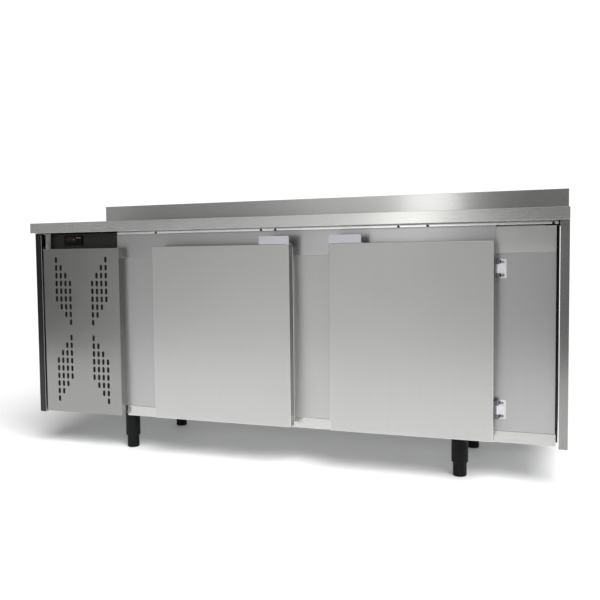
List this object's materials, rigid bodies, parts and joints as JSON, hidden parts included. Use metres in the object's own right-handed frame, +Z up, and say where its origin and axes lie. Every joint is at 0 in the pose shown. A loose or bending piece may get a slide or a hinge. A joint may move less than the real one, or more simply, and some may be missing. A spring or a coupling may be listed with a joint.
{
  "type": "under counter fridge",
  "caption": "Under counter fridge with insulated swing doors, a stainless worktop with a rear upstand, a slotted panel over its condensing unit, a digital controller and adjustable legs.",
  "frame": {"origin": "on the floor, under the middle of the unit's footprint", "axes": "+X to the right seen from the front, +Y from the doors to the back, +Z up"},
  "size_m": [1.8, 0.48, 0.883],
  "materials": {
    "stainless": "fine brushed stainless steel",
    "lining_steel": "satin stainless lining",
    "galvanised": "dull galvanised sheet",
    "fascia_steel": "dark satin fascia",
    "core_board": "raw chipboard",
    "black_plastic": "satin black plastic",
    "display_window": "dark glossy window",
    "black_paint": "semi-gloss black paint",
    "fin_aluminium": "thin bright fins",
    "copper": "drawn copper",
    "white_wire": "white plastic-coated wire",
    "gasket_rubber": "soft grey magnetic gasket",
    "handle_aluminium": "satin anodised",
    "hinge_chrome": "bright plated"
  },
  "bodies": {
    "cabinet": {"worktop": "stainless", "worktop_core": "core_board", "side_panel_left": "stainless", "side_panel_right": "stainless", "header_panel": "stainless", "header_end_panel": "stainless", "left_stile": "stainless", "middle_post": "stainless", "right_stile": "stainless", "sill_rail": "stainless", "top_trim": "stainless", "partition_wall": "lining_steel", "right_wall": "lining_steel", "floor_wall": "lining_steel", "roof_wall": "lining_steel", "back_wall": "lining_steel", "rear_panel": "galvanised", "grille_panel": "stainless", "control_fascia": "fascia_steel", "controller": "black_plastic", "controller_display": "display_window", "unit_tray": "galvanised", "compressor": "black_paint", "condenser": "fin_aluminium", "condenser_fan_motor": "black_paint", "filter_drier": "copper", "evaporator_cover": "lining_steel", "evaporator": "fin_aluminium", "drip_tray": "lining_steel", "shelf_left": "white_wire", "shelf_right": "white_wire", "hinge_left_lower_frame_leaf": "hinge_chrome", "hinge_left_upper_frame_leaf": "hinge_chrome", "hinge_right_lower_frame_leaf": "hinge_chrome", "hinge_right_upper_frame_leaf": "hinge_chrome", "leg_front_left": "black_plastic", "leg_front_right": "black_plastic", "leg_rear_left": "black_plastic", "leg_rear_right": "black_plastic"},
    "left_door": {"door_left_panel": "stainless", "door_left_liner": "lining_steel", "door_left_gasket": "gasket_rubber", "door_left_handle": "handle_aluminium", "hinge_left_lower_door_leaf": "hinge_chrome", "hinge_left_upper_door_leaf": "hinge_chrome"},
    "right_door": {"door_right_panel": "stainless", "door_right_liner": "lining_steel", "door_right_gasket": "gasket_rubber", "door_right_handle": "handle_aluminium", "hinge_right_lower_door_leaf": "hinge_chrome", "hinge_right_upper_door_leaf": "hinge_chrome"},
    "condenser_fan": {"condenser_fan": "black_plastic"},
    "evaporator_fan": {"evaporator_fan": "black_plastic"},
    "key_1": {"controller_key_1": "black_plastic"},
    "key_2": {"controller_key_2": "black_plastic"},
    "key_3": {"controller_key_3": "black_plastic"},
    "foot_front_left": {"foot_front_left": "black_plastic"},
    "foot_front_right": {"foot_front_right": "black_plastic"},
    "foot_rear_left": {"foot_rear_left": "black_plastic"},
    "foot_rear_right": {"foot_rear_right": "black_plastic"}
  },
  "joints": [
    {"name": "left_door_hinge", "type": "hinge", "parent": "cabinet", "child": "left_door", "pos_m": [-0.412, -0.194, 0.421], "axis": [0, 0, -1], "range_deg": [0, 95]},
    {"name": "right_door_hinge", "type": "hinge", "parent": "cabinet", "child": "right_door", "pos_m": [0.706, -0.194, 0.421], "axis": [0, 0, 1], "range_deg": [0, 95]},
    {"name": "condenser_fan_spin", "type": "hinge", "parent": "cabinet", "child": "condenser_fan", "pos_m": [-0.715, -0.091, 0.33], "axis": [0, 1, 0], "continuous": true},
    {"name": "evaporator_fan_spin", "type": "hinge", "parent": "cabinet", "child": "evaporator_fan", "pos_m": [0.103, -0.075, 0.56], "axis": [1, 0, 0], "continuous": true},
    {"name": "key_1_press", "type": "slide", "parent": "cabinet", "child": "key_1", "axis": [0, 1, 0], "range_m": [0, 0.001], "stiffness_N_per_m": 200},
    {"name": "key_2_press", "type": "slide", "parent": "cabinet", "child": "key_2", "axis": [0, 1, 0], "range_m": [0, 0.001], "stiffness_N_per_m": 200},
    {"name": "key_3_press", "type": "slide", "parent": "cabinet", "child": "key_3", "axis": [0, 1, 0], "range_m": [0, 0.001], "stiffness_N_per_m": 200},
    {"name": "front_left_foot_screw", "type": "slide", "parent": "cabinet", "child": "foot_front_left", "axis": [0, 0, -1], "range_m": [0, 0.03]},
    {"name": "front_right_foot_screw", "type": "slide", "parent": "cabinet", "child": "foot_front_right", "axis": [0, 0, -1], "range_m": [0, 0.03]},
    {"name": "rear_left_foot_screw", "type": "slide", "parent": "cabinet", "child": "foot_rear_left", "axis": [0, 0, -1], "range_m": [0, 0.03]},
    {"name": "rear_right_foot_screw", "type": "slide", "parent": "cabinet", "child": "foot_rear_right", "axis": [0, 0, -1], "range_m": [0, 0.03]}
  ]
}
